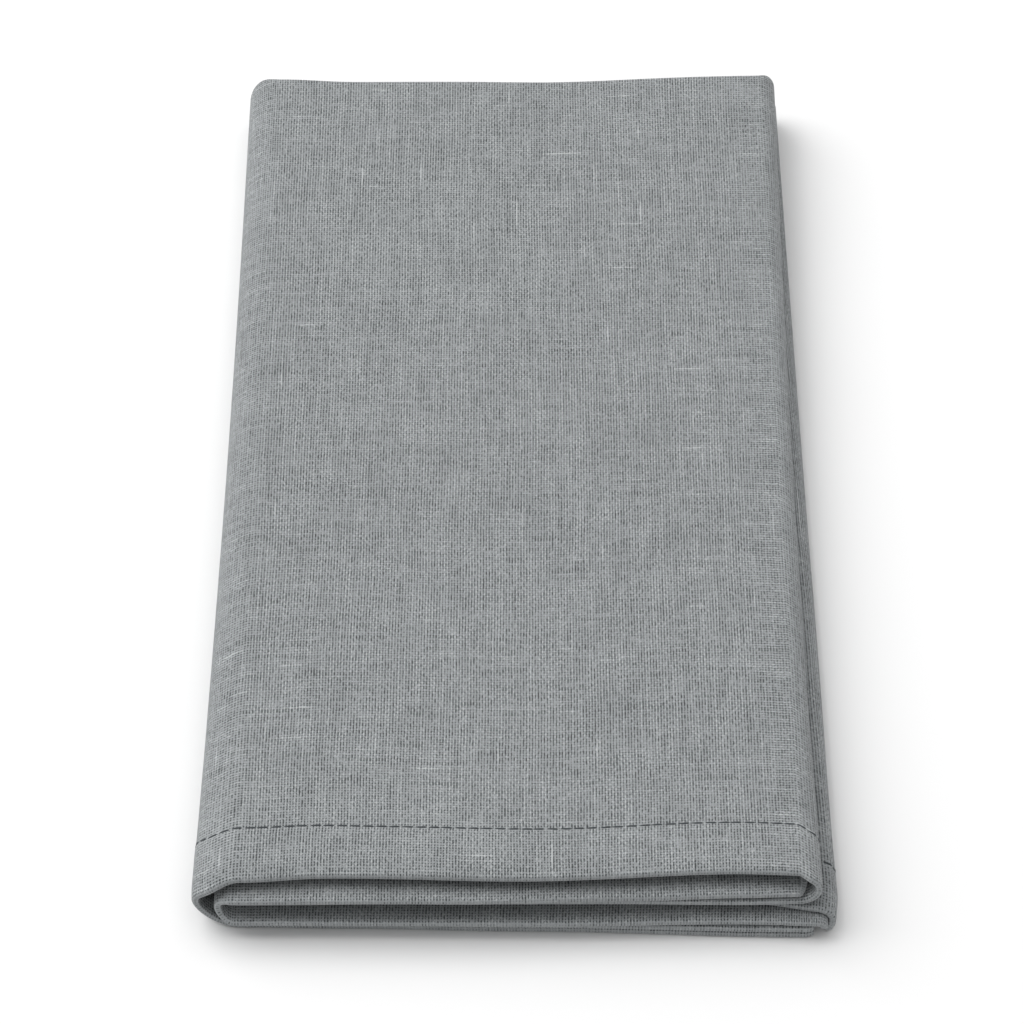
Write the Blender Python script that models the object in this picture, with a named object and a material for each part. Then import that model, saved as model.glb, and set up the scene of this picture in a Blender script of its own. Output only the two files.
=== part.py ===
"""A folded linen napkin: one hemmed square of cloth, doubled crosswise and then folded in quarters.

The cloth is first doubled, with its fold at the far end (+Y) and its two hems at the front (-Y). The doubled
cloth is then folded in half twice along its length. Seen from the front, its section is one back-and-forth
path: the bottom panel starts at a side hem on the right, turns up round the outer left fold into the top
panel, turns down round the right fold into the second panel, turns round the inner left fold into the third
panel, and ends at the other side hem on the right. The solid is that path swept by a hairpin of cloth.
"""

from typing import NamedTuple

import bpy
import numpy as np

MM = 0.001

# The cloth, in millimetres.
CLOTH_SQUARE = 450.0
PLY_THICKNESS = 1.0
HEM_THICKNESS = 1.25
HEM_WIDTH = 12.5
HEM_STEP = 1.5
HEM_NOSE = 0.45

# The folded panel, in millimetres, from the middle of its own box.
PANEL_WIDTH = CLOTH_SQUARE / 4.0
PANEL_LENGTH = CLOTH_SQUARE / 2.0
FAR_END = PANEL_LENGTH / 2.0
FRONT_END = -FAR_END
FRONT_ZONE = 45.0

# The path's seven stretches, each one unit long, in the order that they are walked.
BOTTOM, OUTER_LEFT, TOP, RIGHT, SECOND, INNER_LEFT, THIRD, PATH_END = range(8)


class Panel(NamedTuple):
    """One doubled panel, in millimetres: the air under it and half the distance between its plies."""

    far_gap: float
    front_gap: float
    far_spread: float
    front_spread: float


# In the order of the path. The stack's order comes below.
PANELS = {
    "bottom": Panel(0.00, 0.00, 0.80, 0.78),
    "top": Panel(0.60, 0.42, 0.80, 0.88),
    "second": Panel(0.60, 0.52, 0.80, 0.95),
    "third": Panel(0.75, 0.35, 0.80, 0.83),
}
STACK = ("bottom", "third", "second", "top")


class Fold(NamedTuple):
    """One lengthwise fold, in millimetres: where its bend starts at each end, and how far its middle bows."""

    front_x: float
    far_x: float
    bow: float


FOLDS = {
    "outer left": Fold(-51.8, -51.3, 0.4),
    "right": Fold(51.8, 52.1, -1.25),
    "inner left": Fold(-51.1, -51.0, 0.3),
}


class FreeEdge(NamedTuple):
    """One free side hem, in millimetres: where it ends at each end, and how far it droops over what length."""

    front_x: float
    far_x: float
    front_droop: float
    far_droop: float
    droop_length: float


# The third panel's hem hangs over the bottom panel's. Its lower ply stops short, and its front corner tucks in.
FREE_EDGES = {
    "bottom": FreeEdge(51.9, 51.6, 0.0, 0.0, 1.0),
    "third": FreeEdge(56.6, 55.2, 3.2, 1.2, 4.4),
}
SHORTER_PLY = 2.0
SHORTER_FROM = 16.0
CORNER_TUCK = 0.6
CORNER_TUCK_LENGTH = 10.0


class CrossEdge(NamedTuple):
    """At one place on the path: the front edges of the two plies and the crosswise fold, as y in millimetres.

    The outer ply is the one outside the first lengthwise fold: the lower ply of the bottom and second panels
    and the upper ply of the top and third panels.
    """

    place: float
    outer_front: float
    inner_front: float
    far: float


CROSS_EDGES = (
    CrossEdge(BOTTOM, -113.2, -113.3, 112.6),
    CrossEdge(BOTTOM + 0.5, -112.7, -113.1, 112.6),
    CrossEdge(OUTER_LEFT, -112.2, -112.6, 112.5),
    CrossEdge(OUTER_LEFT + 0.4, -109.5, -109.9, 113.2),
    CrossEdge(OUTER_LEFT + 0.75, -111.4, -109.4, 113.9),
    CrossEdge(TOP, -110.1, -108.4, 113.5),
    CrossEdge(TOP + 0.15, -109.1, -107.6, 113.3),
    CrossEdge(TOP + 0.5, -109.8, -107.8, 113.2),
    CrossEdge(TOP + 0.88, -108.2, -107.0, 114.0),
    CrossEdge(RIGHT + 0.25, -110.1, -108.2, 113.8),
    CrossEdge(SECOND, -109.6, -110.6, 113.0),
    CrossEdge(SECOND + 0.25, -110.4, -111.6, 112.6),
    CrossEdge(SECOND + 0.6, -111.3, -113.2, 112.5),
    CrossEdge(INNER_LEFT, -111.5, -113.3, 112.2),
    CrossEdge(INNER_LEFT + 0.5, -110.2, -111.2, 112.0),
    CrossEdge(THIRD, -109.6, -113.8, 112.4),
    CrossEdge(THIRD + 0.5, -108.6, -114.0, 112.6),
    CrossEdge(THIRD + 0.9, -108.8, -113.4, 112.8),
    CrossEdge(PATH_END, -111.4, -113.0, 113.6),
)

# The top panel's own unevenness, in millimetres: its far right corner and the right of its front hem lift.
CORNER_LIFT = 1.1
CORNER_LIFT_ACROSS = (5.0, 50.0)
CORNER_LIFT_ALONG = (45.0, 112.0)
FRONT_LIFT = 0.45
FRONT_LIFT_ACROSS = (-10.0, 40.0)

# How finely the solid is divided.
FLAT_STEPS = 8
OUTER_FOLD_STEPS = 10
TIGHT_FOLD_STEPS = 8
DROOP_STEPS = 6
BEND_STEPS = 8
LENGTH_STATIONS = (0.0, 4.0, 8.0, 11.0, 12.5, 24.0, 40.0, 66.0, 100.0, 140.0, 175.0, 200.0, 214.0)
PATH_NUDGE = 1e-3


def smooth(value, start, end):
    """Rises from 0 at start to 1 at end along a cubic, level at both."""
    share = np.clip((value - start) / (end - start), 0.0, 1.0)
    return share * share * (3.0 - 2.0 * share)


def blend(first, second, share):
    """The straight mix of two values."""
    return first + (second - first) * share


def frontness(y):
    """0 over the length of the cloth, rising to 1 at its front hems, where the panels puff apart."""
    return 1.0 - smooth(y, FRONT_END, FRONT_END + FRONT_ZONE)


def farness(y):
    """0 at the front and 1 at the far end, in a straight line."""
    return np.clip((y - FRONT_END) / PANEL_LENGTH, 0.0, 1.0)


def cross_edge(path, column):
    """One column of the cross edges at each place on the path, level at each row of the table."""
    places = np.array([row.place for row in CROSS_EDGES])
    values = np.array([getattr(row, column) for row in CROSS_EDGES])
    row = np.clip(np.searchsorted(places, path, side="right") - 1, 0, len(places) - 2)
    return blend(values[row], values[row + 1], smooth(path, places[row], places[row + 1]))


def ply_thickness(from_side, from_front):
    """One ply's thickness, which steps up over the hem at its front and the hem at its free side."""
    nearest = np.minimum(from_side, from_front)
    hem = 1.0 - smooth(nearest, HEM_WIDTH - HEM_STEP, HEM_WIDTH)
    return blend(PLY_THICKNESS, HEM_THICKNESS, hem)


def from_free_side(path):
    """How far a place on the path lies from the nearer of its two free ends, in millimetres."""
    return np.minimum(path - BOTTOM, PATH_END - path) * PANEL_WIDTH


def panel_spread(name, y):
    """Half the distance between a panel's two plies."""
    panel = PANELS[name]
    return blend(panel.far_spread, panel.front_spread, frontness(y))


def fold_x(name, y):
    """Where a fold's bend starts, bowed by a half sine between the two ends."""
    fold = FOLDS[name]
    return blend(fold.front_x, fold.far_x, farness(y)) + fold.bow * np.sin(np.pi * farness(y))


def edge_x(name, y):
    """Where a free side hem ends, with the third panel's tucked in at the front corner."""
    edge = FREE_EDGES[name]
    x = blend(edge.front_x, edge.far_x, farness(y))
    if name == "third":
        x = x - CORNER_TUCK * (1.0 - smooth(y, FRONT_END, FRONT_END + CORNER_TUCK_LENGTH))
    return x


def stack_height(name, y):
    """The height of a panel's middle: the plies and the air of everything under it, and half its own."""
    height = 0.0
    for lower in STACK:
        panel = PANELS[lower]
        half = panel_spread(lower, y) + blend(PLY_THICKNESS, HEM_THICKNESS, frontness(y)) / 2.0
        height = height + blend(panel.far_gap, panel.front_gap, frontness(y)) + half
        if lower == name:
            break
        height = height + half
    return height


def bottom_height(path, y):
    """The middle of the bottom panel, whose lower face is flat on the surface under its own hems too."""
    from_front = y - cross_edge(path, "outer_front")
    return panel_spread("bottom", y) + ply_thickness(from_free_side(path), from_front) / 2.0


def top_height(x, y):
    """The middle of the top panel, with its lifted far corner and lifted front hem."""
    corner = smooth(x, *CORNER_LIFT_ACROSS) * smooth(y, *CORNER_LIFT_ALONG)
    front = smooth(x, *FRONT_LIFT_ACROSS) * frontness(y)
    return stack_height("top", y) + CORNER_LIFT * corner + FRONT_LIFT * front


def third_height(x, y):
    """The middle of the third panel, whose side hem droops along a parabola."""
    edge = FREE_EDGES["third"]
    share = np.clip(1.0 - (edge_x("third", y) - x) / edge.droop_length, 0.0, None)
    droop = blend(edge.front_droop, edge.far_droop, farness(y))
    return stack_height("third", y) - droop * share * share


def bend(start, turn, side, lower, upper, climb):
    """A fold's point: a half circle between the heights of the two panels that it joins.

    The turn goes from 0 to 1. Side is -1 for a left fold, and climb is 1 where the path goes up.
    """
    half = (upper - lower) / 2.0
    x = start + side * half * np.sin(np.pi * turn)
    return x, lower + half - climb * half * np.cos(np.pi * turn)


def mid_line(path, y):
    """The point of the folded section's middle line at each place on the path, for each y."""
    stretch = np.clip(np.floor(path), BOTTOM, THIRD)
    share = path - stretch
    outer = fold_x("outer left", y)
    right = fold_x("right", y)
    inner = fold_x("inner left", y)
    second = stack_height("second", y) + 0.0 * share
    top_x = blend(outer, right, share)
    third_x = blend(inner, edge_x("third", y), share)
    points = [
        (blend(edge_x("bottom", y), outer, share), bottom_height(path, y)),
        bend(outer, share, -1.0, bottom_height(OUTER_LEFT + 0.0 * path, y), top_height(outer, y), 1.0),
        (top_x, top_height(top_x, y)),
        bend(right, share, 1.0, second, top_height(right, y), -1.0),
        (blend(right, inner, share), second),
        bend(inner, share, -1.0, third_height(inner, y), second, -1.0),
        (third_x, third_height(third_x, y)),
    ]
    here = [stretch == number for number in range(PATH_END)]
    return np.select(here, [x for x, z in points]), np.select(here, [z for x, z in points])


def cloth_points(path, y, offset):
    """Points at an offset from the middle line, square to the section's path."""
    before_x, before_z = mid_line(np.clip(path - PATH_NUDGE, BOTTOM, PATH_END), y)
    after_x, after_z = mid_line(np.clip(path + PATH_NUDGE, BOTTOM, PATH_END), y)
    run = np.hypot(after_x - before_x, after_z - before_z)
    x, z = mid_line(path, y)
    x = x - offset * (after_z - before_z) / run
    z = z + offset * (after_x - before_x) / run
    return np.stack([x, y, z], axis=-1)


def ply_offset(path, y, fronts, depth):
    """The distance from the middle line to one face of a ply: depth is -1 inside the doubling and 1 outside."""
    bottom, top, second, third = (panel_spread(name, y) for name in PANELS)
    spread = blend(bottom, top, smooth(path, OUTER_LEFT, TOP))
    spread = blend(spread, second, smooth(path, RIGHT, SECOND))
    spread = blend(spread, third, smooth(path, INNER_LEFT, THIRD))
    return spread + depth * ply_thickness(from_free_side(path), y - fronts) / 2.0


def shortened(path, turn):
    """The path with the third panel's inner ply drawn back from its side hem, since it was cut no longer."""
    span = SHORTER_FROM / PANEL_WIDTH
    share = smooth(path, PATH_END - span, PATH_END) * (1.0 - turn) / 2.0
    return path - SHORTER_PLY / PANEL_WIDTH * share


def hairpin(path, depth):
    """One face of the doubled cloth: along the outer ply, round the far bend and back along the inner ply.

    The turn is 1 on the outer ply and -1 on the inner one, and a cosine between them round the bend.
    """
    fronts = [cross_edge(path, "outer_front"), cross_edge(path, "inner_front")]
    spread = PANELS["top"].far_spread
    bend_start = cross_edge(path, "far") - spread
    shares = np.array(LENGTH_STATIONS) / LENGTH_STATIONS[-1]
    legs = [front + HEM_NOSE + (bend_start - front - HEM_NOSE) * shares for front in fronts]
    angles = np.linspace(0.0, np.pi, BEND_STEPS + 1)[1:-1]
    bend_radius = spread + depth * PLY_THICKNESS / 2.0
    y = np.concatenate([legs[0], bend_start + bend_radius * np.sin(angles), legs[1][:, ::-1]], axis=1)
    turn = np.concatenate([np.ones_like(shares), np.cos(angles), -np.ones_like(shares)])
    ply_fronts = np.where(turn > 0.0, fronts[0], fronts[1])
    offset = turn * ply_offset(path, np.minimum(y, bend_start), ply_fronts, depth)
    return cloth_points(shortened(path, turn), y, offset)


def nose(path, column, turn):
    """The foremost line of one ply's front hem, halfway through its thickness."""
    y = cross_edge(path, column)
    return cloth_points(shortened(path, turn), y, turn * ply_offset(path, y, y, 0.0))


def path_places():
    """The path's stations: evenly spread on each stretch, with more where the third panel droops."""
    hem_share = HEM_WIDTH / PANEL_WIDTH
    droop_share = FREE_EDGES["third"].droop_length / PANEL_WIDTH
    steps = [
        [BOTTOM, BOTTOM + hem_share],
        np.linspace(BOTTOM + 2.0 * hem_share, OUTER_LEFT, FLAT_STEPS - 2),
        np.linspace(OUTER_LEFT, TOP, OUTER_FOLD_STEPS + 1),
        np.linspace(TOP, RIGHT, FLAT_STEPS + 2),
        np.linspace(RIGHT, SECOND, TIGHT_FOLD_STEPS + 1),
        np.linspace(SECOND, INNER_LEFT, FLAT_STEPS),
        np.linspace(INNER_LEFT, THIRD, TIGHT_FOLD_STEPS + 1),
        np.linspace(THIRD, PATH_END - 2.0 * hem_share, FLAT_STEPS - 2),
        [PATH_END - hem_share],
        np.linspace(PATH_END - droop_share, PATH_END, DROOP_STEPS + 1),
    ]
    return np.unique(np.round(np.concatenate(steps), 9))


def ring_faces(stations, ring):
    """The faces of a closed ring of points swept through the stations, with a strip of cloth closing each end."""
    index = np.arange(stations * ring).reshape(stations, ring)
    ahead = np.roll(index, -1, axis=1)
    quads = np.stack([index[:-1], index[1:], ahead[1:], ahead[:-1]], axis=-1).reshape(-1, 4)
    half = ring // 2
    outer = np.arange(1, half)
    inner = ring - outer
    strip = np.stack([outer[:-1], outer[1:], inner[1:], inner[:-1]], axis=-1)
    tips = np.array([[0, 1, ring - 1], [half, half + 1, half - 1]])
    last = (stations - 1) * ring
    faces = quads.tolist() + strip.tolist() + tips.tolist()
    return faces + (strip[:, ::-1] + last).tolist() + (tips[:, ::-1] + last).tolist()


def cloth_material():
    """Cool grey linen."""
    material = bpy.data.materials.new("linen")
    material.use_nodes = True
    shader = material.node_tree.nodes["Principled BSDF"]
    shader.inputs["Base Color"].default_value = (0.29, 0.31, 0.32, 1.0)
    shader.inputs["Roughness"].default_value = 0.9
    shader.inputs["Metallic"].default_value = 0.0
    return material


def clear_scene():
    """Takes every object out of the scene."""
    for old in list(bpy.data.objects):
        bpy.data.objects.remove(old, do_unlink=True)


def build_napkin():
    """The folded napkin: the hairpin's ring of points at each station of the path, centred on its own box."""
    path = path_places()[:, None]
    outside = hairpin(path, 1.0)
    inside = hairpin(path, -1.0)
    front_noses = nose(path, "outer_front", 1.0), nose(path, "inner_front", -1.0)
    ring = np.concatenate([front_noses[0], outside, front_noses[1], inside[:, ::-1]], axis=1)
    points = ring.reshape(-1, 3)
    low = points.min(axis=0)
    high = points.max(axis=0)
    points = points - [(low[0] + high[0]) / 2.0, (low[1] + high[1]) / 2.0, 0.0]
    mesh = bpy.data.meshes.new("napkin")
    mesh.from_pydata((points * MM).tolist(), [], ring_faces(*ring.shape[:2]))
    mesh.materials.append(cloth_material())
    mesh.shade_smooth()
    napkin = bpy.data.objects.new("napkin", mesh)
    bpy.context.scene.collection.objects.link(napkin)
    return napkin


clear_scene()
build_napkin()
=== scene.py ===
"""The looks of a folded linen napkin: thin hemmed cloth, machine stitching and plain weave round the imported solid.

The cloth is doubled crosswise, with its fold at the far end and its hems at the front, and then folded twice
lengthwise. Seen from the front, its section is one back-and-forth path of seven stretches. Lengths are in
millimetres until they go into a mesh, and heights are above the surface that the napkin rests on.
"""

import logging
import math
from dataclasses import dataclass, field
from enum import Enum, IntEnum

import bpy
import numpy as np
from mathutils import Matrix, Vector

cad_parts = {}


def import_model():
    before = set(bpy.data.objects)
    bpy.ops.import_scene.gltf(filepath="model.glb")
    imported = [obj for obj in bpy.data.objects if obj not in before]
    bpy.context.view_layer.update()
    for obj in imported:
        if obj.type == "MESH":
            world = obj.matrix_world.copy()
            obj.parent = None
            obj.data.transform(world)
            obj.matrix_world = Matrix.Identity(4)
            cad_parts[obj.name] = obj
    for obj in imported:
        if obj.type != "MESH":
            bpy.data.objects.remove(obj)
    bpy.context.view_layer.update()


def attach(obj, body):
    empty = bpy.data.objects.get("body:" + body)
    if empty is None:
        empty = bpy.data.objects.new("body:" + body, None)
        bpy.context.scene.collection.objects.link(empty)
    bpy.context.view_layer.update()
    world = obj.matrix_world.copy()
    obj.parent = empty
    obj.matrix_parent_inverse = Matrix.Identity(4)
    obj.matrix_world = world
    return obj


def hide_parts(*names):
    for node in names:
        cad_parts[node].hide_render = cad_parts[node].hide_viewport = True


MM = 0.001
CAD_NODE = "napkin"
BODY = "root"
LOG = logging.getLogger("napkin")
Array = np.ndarray


def smooth(value: Array | float, start: float, end: float) -> Array | float:
    """Rises from 0 at start to 1 at end along a cubic, level at both.

    Args:
        value: Where the curve is read.
        start: Where it leaves 0.
        end: Where it reaches 1.

    Returns:
        3 s^2 - 2 s^3, with s the share of the way from start to end, held between 0 and 1.
    """
    share = np.clip((value - start) / (end - start), 0.0, 1.0)
    return share * share * (3.0 - 2.0 * share)


def blend(first: Array | float, second: Array | float, share: Array | float) -> Array | float:
    """The straight mix of two values: first + (second - first) times share."""
    return first + (second - first) * share


class Stretch(IntEnum):
    """The path's stretches, each one unit long, in the order that they are walked."""

    BOTTOM = 0
    OUTER_LEFT = 1
    TOP = 2
    RIGHT = 3
    SECOND = 4
    INNER_LEFT = 5
    THIRD = 6
    END = 7


class Ply(IntEnum):
    """The doubled cloth's two plies: the one outside the first lengthwise fold, and the one inside it."""

    OUTER = 1
    INNER = -1


class Face(Enum):
    """The two faces of the cloth: the one outside the doubling, and the one inside it."""

    OUTSIDE = "outside"
    INSIDE = "inside"


@dataclass(frozen=True)
class Panel:
    """One doubled panel: the air under it and half the distance between its plies, at its far and front ends."""

    far_gap: float
    front_gap: float
    far_spread: float
    front_spread: float


@dataclass(frozen=True)
class Fold:
    """One lengthwise fold: how far out its middle line reaches at the front and far ends, how far that bows in
    between, how many times as wide as high each half of its bend is at the front and far ends, and the same for
    the ply inside the bend, which turns more tightly and leaves a hollow."""

    front_x: float
    far_x: float
    bow: float
    front_flatness: float
    far_flatness: float
    tight_ply: Ply
    tight_flatness: float


@dataclass(frozen=True)
class Hook:
    """How a hanging side hem turns down: on an arc of this radius and angle, and then straight on."""

    radius: float
    angle: float
    straight: float


@dataclass(frozen=True)
class FreeEdge:
    """One free side hem: how far out it reaches at the front and far ends, and how it turns down there."""

    front_x: float
    far_x: float
    front_hook: Hook | None = None
    far_hook: Hook | None = None


@dataclass(frozen=True)
class CrossEdge:
    """At one place on the path: the front edges of the outer and inner plies, and the crosswise fold, as y."""

    place: float
    outer_front: float
    inner_front: float
    far: float


def panel_table() -> dict[str, Panel]:
    """The four panels in the order of the path.

    Returns:
        Each panel's sizes, under its name.
    """
    return {
        "bottom": Panel(0.00, 0.00, 0.80, 0.78),
        "top": Panel(0.60, 0.42, 0.80, 0.88),
        "second": Panel(0.60, 0.52, 0.80, 0.95),
        "third": Panel(0.75, 0.35, 0.80, 0.83),
    }


def fold_table() -> dict[str, Fold]:
    """The three lengthwise folds in the order of the path.

    Returns:
        Each fold's sizes, under its name.
    """
    return {
        "outer left": Fold(-57.15, -56.35, 0.7, 1.45, 1.15, Ply.INNER, 1.1),
        "right": Fold(52.85, 53.6, -0.75, 1.35, 0.97, Ply.INNER, 0.92),
        "inner left": Fold(-52.9, -52.8, 0.3, 1.25, 1.25, Ply.OUTER, 0.94),
    }


def free_edge_table() -> dict[str, FreeEdge]:
    """The two free side hems, of which the third panel's hangs over the bottom panel's.

    Returns:
        Each hem's sizes, under its panel's name.
    """
    return {
        "bottom": FreeEdge(53.1, 52.2),
        "third": FreeEdge(57.5, 55.7, Hook(1.8, math.radians(118.0), 1.2), Hook(4.0, math.radians(45.0), 0.5)),
    }


def cross_edge_table() -> tuple[CrossEdge, ...]:
    """The front hems and the crosswise fold along the path, as uneven as a hand-folded cloth leaves them.

    Returns:
        The table's rows, in the order of the path.
    """
    rows = (
        (Stretch.BOTTOM, -112.3, -112.5, 112.6),
        (Stretch.BOTTOM + 0.012, -112.85, -112.9, 112.6),
        (Stretch.BOTTOM + 0.5, -111.6, -111.95, 112.6),
        (Stretch.BOTTOM + 0.8, -111.0, -111.35, 112.6),
        (Stretch.OUTER_LEFT, -110.7, -110.2, 112.5),
        (Stretch.OUTER_LEFT + 0.4, -109.4, -106.4, 114.4),
        (Stretch.OUTER_LEFT + 0.75, -111.2, -105.8, 115.5),
        (Stretch.TOP, -109.8, -107.2, 114.2),
        (Stretch.TOP + 0.15, -108.95, -107.4, 113.3),
        (Stretch.TOP + 0.5, -109.6, -107.6, 113.3),
        (Stretch.TOP + 0.88, -108.2, -106.6, 114.0),
        (Stretch.RIGHT + 0.25, -110.1, -106.4, 114.8),
        (Stretch.SECOND, -110.6, -110.5, 113.6),
        (Stretch.SECOND + 0.1, -110.9, -110.8, 112.8),
        (Stretch.SECOND + 0.3, -110.7, -111.5, 112.6),
        (Stretch.SECOND + 0.6, -110.8, -112.4, 112.5),
        (Stretch.INNER_LEFT, -110.6, -112.4, 112.2),
        (Stretch.INNER_LEFT + 0.5, -110.2, -111.2, 112.0),
        (Stretch.THIRD, -109.6, -112.9, 112.4),
        (Stretch.THIRD + 0.5, -108.6, -113.1, 112.6),
        (Stretch.THIRD + 0.82, -108.8, -112.5, 113.4),
        (Stretch.END, -111.4, -113.0, 115.4),
    )
    return tuple(CrossEdge(*row) for row in rows)


@dataclass(frozen=True)
class FoldedPath:
    """The folded section's middle line, and where the doubled cloth's plies lie on both sides of it.

    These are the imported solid's own sizes, so that the thin cloth keeps its folds and its outer faces.
    """

    square: float = 450.0
    solid_ply: float = 1.0
    solid_hem: float = 1.25
    hem_width: float = 12.5
    hem_step: float = 1.5
    wide_hem_place: float = 1.5
    wide_hem_span: float = 0.42
    wide_hem_share: float = 0.12
    front_zone: float = 45.0
    origin: tuple[float, float] = (-0.319, 0.251)
    corner_tuck: float = 0.6
    corner_tuck_length: float = 7.0
    corner_flare: float = 0.15
    corner_flare_along: tuple[float, float] = (9.0, 20.0)
    shorter_ply: float = 2.0
    shorter_from: float = 16.0
    corner_lift: float = 1.1
    corner_lift_across: tuple[float, float] = (3.0, 46.0)
    corner_lift_along: tuple[float, float] = (45.0, 112.0)
    front_lift: float = 0.45
    front_lift_across: tuple[float, float] = (-10.0, 40.0)
    path_nudge: float = 1e-3
    stack: tuple[str, ...] = ("bottom", "third", "second", "top")
    panels: dict[str, Panel] = field(default_factory=panel_table)
    folds: dict[str, Fold] = field(default_factory=fold_table)
    free_edges: dict[str, FreeEdge] = field(default_factory=free_edge_table)
    cross_edges: tuple[CrossEdge, ...] = field(default_factory=cross_edge_table)

    @property
    def panel_width(self) -> float:
        """A quarter of the square."""
        return self.square / 4.0

    @property
    def panel_length(self) -> float:
        """Half of the square."""
        return self.square / 2.0

    @property
    def front_end(self) -> float:
        """The front of the panel, with its middle at 0."""
        return -self.panel_length / 2.0

    def frontness(self, y: Array) -> Array:
        """0 over the length of the cloth, rising to 1 at its front hems, where the panels puff apart."""
        return 1.0 - smooth(y, self.front_end, self.front_end + self.front_zone)

    def farness(self, y: Array) -> Array:
        """0 at the front and 1 at the far end, in a straight line."""
        return np.clip((y - self.front_end) / self.panel_length, 0.0, 1.0)

    def cross_edge(self, path: Array, column: str) -> Array:
        """Reads one column of the cross edges, level at each row of the table and a cubic between them.

        Args:
            path: Places on the path.
            column: The field of CrossEdge to read.

        Returns:
            That edge's y at each place.
        """
        places = np.array([float(row.place) for row in self.cross_edges])
        values = np.array([getattr(row, column) for row in self.cross_edges])
        row = np.clip(np.searchsorted(places, path, side="right") - 1, 0, len(places) - 2)
        return blend(values[row], values[row + 1], smooth(path, places[row], places[row + 1]))

    def from_free_side(self, path: Array) -> Array:
        """How far a place on the path lies from the nearer of its two free ends."""
        return np.minimum(path - Stretch.BOTTOM, Stretch.END - path) * self.panel_width

    def hem_share(self, path: Array, from_front: Array) -> Array:
        """1 on a hem and 0 off it, with a cubic step between, for the nearer of the side and front hems."""
        nearest = np.minimum(self.from_free_side(path), from_front / self.hem_stretch(path))
        return 1.0 - smooth(nearest, self.hem_width - self.hem_step, self.hem_width)

    def hem_stretch(self, path: Array) -> Array:
        """How much wider the front hem is than its usual width: a bell over the outer left fold."""
        lean = (path - self.wide_hem_place) / self.wide_hem_span
        return 1.0 + self.wide_hem_share * np.exp(-lean * lean)

    def panel_spread(self, name: str, y: Array) -> Array:
        """Half the distance between the middles of a panel's two solid plies."""
        panel = self.panels[name]
        return blend(panel.far_spread, panel.front_spread, self.frontness(y))

    def fold_x(self, name: str, y: Array) -> Array:
        """How far out a fold's middle line reaches: a straight line from front to far, bowed by a half sine.

        Args:
            name: The fold's name.
            y: Places along the cloth.

        Returns:
            The fold's x at each.
        """
        fold = self.folds[name]
        share = self.farness(y)
        return blend(fold.front_x, fold.far_x, share) + fold.bow * np.sin(np.pi * share)

    def edge_x(self, name: str, y: Array) -> Array:
        """Where a free side hem ends, with the third panel's flared over its front hem and tucked in at the tip.

        Args:
            name: The name of the hem's panel.
            y: Places along the cloth.

        Returns:
            The hem's x at each: a straight line, plus the flare and less the tuck, both cubics.
        """
        edge = self.free_edges[name]
        x = blend(edge.front_x, edge.far_x, self.farness(y))
        if name == "third":
            start, end = (self.front_end + along for along in self.corner_flare_along)
            tuck = 1.0 - smooth(y, self.front_end, self.front_end + self.corner_tuck_length)
            x = x + self.corner_flare * (1.0 - smooth(y, start, end)) - self.corner_tuck * tuck
        return x

    def stack_height(self, name: str, y: Array) -> Array:
        """The height of a panel's middle: the plies and air of everything under it, and half its own.

        Args:
            name: The panel's name.
            y: Places along the cloth.

        Returns:
            The height at each.
        """
        height = 0.0
        front = self.frontness(y)
        for lower in self.stack:
            panel = self.panels[lower]
            half = self.panel_spread(lower, y) + blend(self.solid_ply, self.solid_hem, front) / 2.0
            height = height + blend(panel.far_gap, panel.front_gap, front) + half
            if lower == name:
                break
            height = height + half
        return height

    def bottom_height(self, path: Array, y: Array) -> Array:
        """The middle of the bottom panel, whose lower face is flat on the surface under its hems too.

        Args:
            path: Places on the path.
            y: Places along the cloth.

        Returns:
            The height at each: its spread and half a ply.
        """
        from_front = y - self.cross_edge(path, "outer_front")
        half = blend(self.solid_ply, self.solid_hem, self.hem_share(path, from_front)) / 2.0
        return self.panel_spread("bottom", y) + half

    def top_height(self, x: Array, y: Array) -> Array:
        """The middle of the top panel, with its far right corner and the right of its front hem lifted.

        Args:
            x: Places across the packet.
            y: Places along the cloth.

        Returns:
            The height at each: the stack's, plus the product of two cubics for each lift.
        """
        corner = smooth(x, *self.corner_lift_across) * smooth(y, *self.corner_lift_along)
        front = smooth(x, *self.front_lift_across) * self.frontness(y)
        return self.stack_height("top", y) + self.corner_lift * corner + self.front_lift * front

    def third_point(self, start: Array, share: Array, y: Array) -> tuple[Array, Array]:
        """The middle of the third panel, which runs level from its fold and hooks down at its side hem.

        Args:
            start: Where the level part starts, as x.
            share: The share of the panel's whole length.
            y: Places along the cloth.

        Returns:
            x and z. Past the level part, the arc's angle is the length over the radius, until the hook's own
            angle is reached, and the rest goes straight on.
        """
        edge = self.free_edges["third"]
        near, far = edge.front_hook, edge.far_hook
        radius, angle, straight = (
            blend(getattr(near, size), getattr(far, size), self.farness(y)) for size in ("radius", "angle", "straight")
        )
        outer_face = self.panel_spread("third", y) + self.solid_hem / 2.0
        reach = (radius + outer_face) * np.sin(np.minimum(angle, np.pi / 2.0))
        level = self.edge_x("third", y) - reach - straight * np.maximum(np.cos(angle), 0.0) - start
        along = share * (level + radius * angle + straight)
        past = np.maximum(along - level, 0.0)
        turned = np.minimum(past / radius, angle)
        rest = np.maximum(past - radius * angle, 0.0)
        x = start + np.minimum(along, level) + radius * np.sin(turned) + rest * np.cos(angle)
        drop = radius * (1.0 - np.cos(turned)) + rest * np.sin(angle)
        return x, self.stack_height("third", y) - drop

    def fold_flatness(self, name: str, y: Array) -> Array:
        """How many times as wide as high each half of a fold's bend is, on its wide ply."""
        fold = self.folds[name]
        return blend(fold.front_flatness, fold.far_flatness, self.farness(y))

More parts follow.
